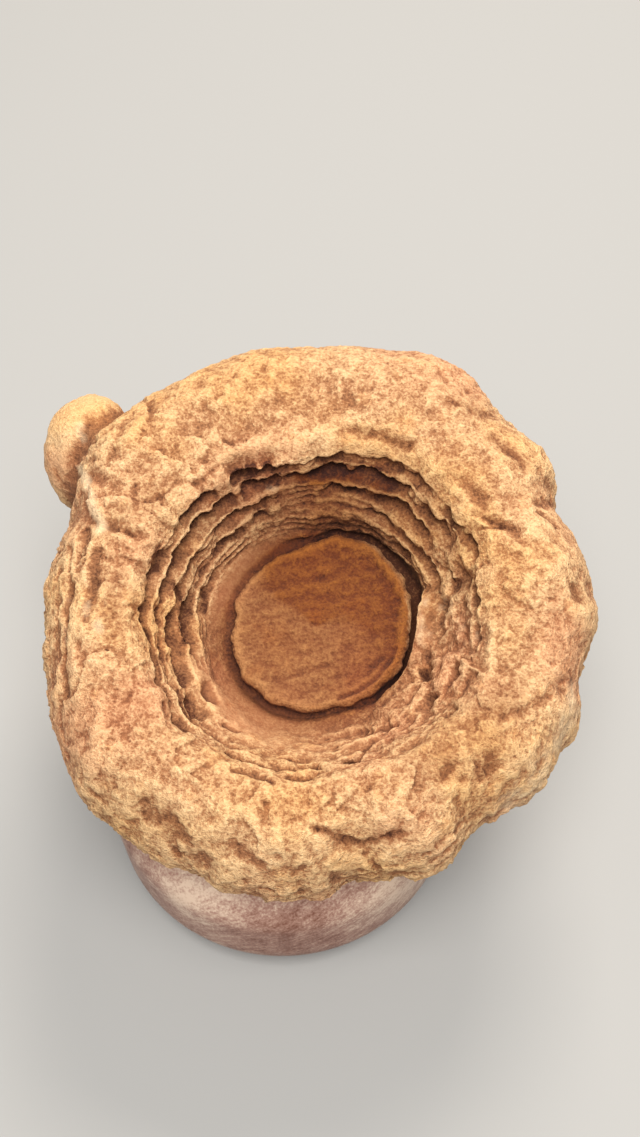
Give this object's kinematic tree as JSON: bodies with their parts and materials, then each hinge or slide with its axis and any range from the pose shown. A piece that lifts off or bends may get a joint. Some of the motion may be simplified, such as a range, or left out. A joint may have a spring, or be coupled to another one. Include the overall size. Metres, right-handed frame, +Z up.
{
  "type": "stromatolite",
  "caption": "Fossil microbial stone: a rough ochre dome with a terraced bowl, a raised button at its centre and a small lobe at the side, on a smooth round ground foot that it stands on.",
  "frame": {"origin": "on the flat spot below the foot, at the middle of the foot, in the plane that the stone rests on", "axes": "+Z up, +X to the right, +Y to the back; the bowl leans forward, towards -Y"},
  "size_m": [0.122, 0.124, 0.0908],
  "materials": {
    "stone": "rough gritty ochre-brown crust, with a satin mauve-brown ground foot"
  },
  "bodies": {
    "root": {"stromatolite": "stone"}
  },
  "joints": []
}
